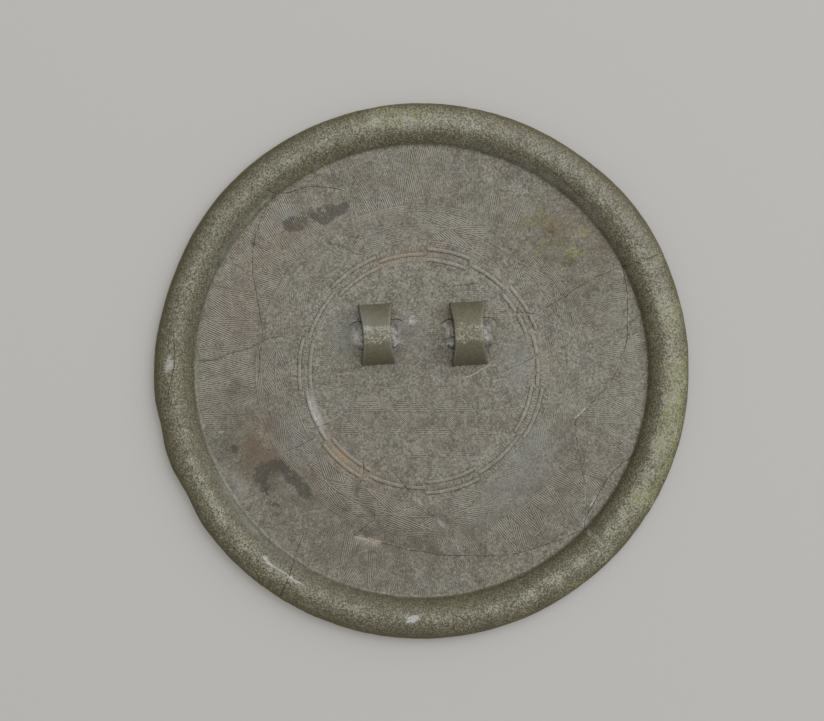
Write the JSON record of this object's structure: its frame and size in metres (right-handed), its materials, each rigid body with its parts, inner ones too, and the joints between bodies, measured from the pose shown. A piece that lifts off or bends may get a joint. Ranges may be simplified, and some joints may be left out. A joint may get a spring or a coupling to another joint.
{
  "type": "bronze mirror",
  "caption": "Round cast bronze hand mirror with a half-round rim, fine raised line pattern and strap loops on its back.",
  "frame": {"origin": "middle of the flat polished face, which lies underneath", "axes": "+Z out of the patterned back, +Y towards the edge that the two loops are nearer to, +X to the right as the back is looked at"},
  "size_m": [0.15, 0.15, 0.0092],
  "materials": {
    "patinated_bronze": "aged bronze with a thin olive-brown and pale green patina"
  },
  "bodies": {
    "root": {"bronze_mirror": "patinated_bronze"}
  },
  "joints": []
}
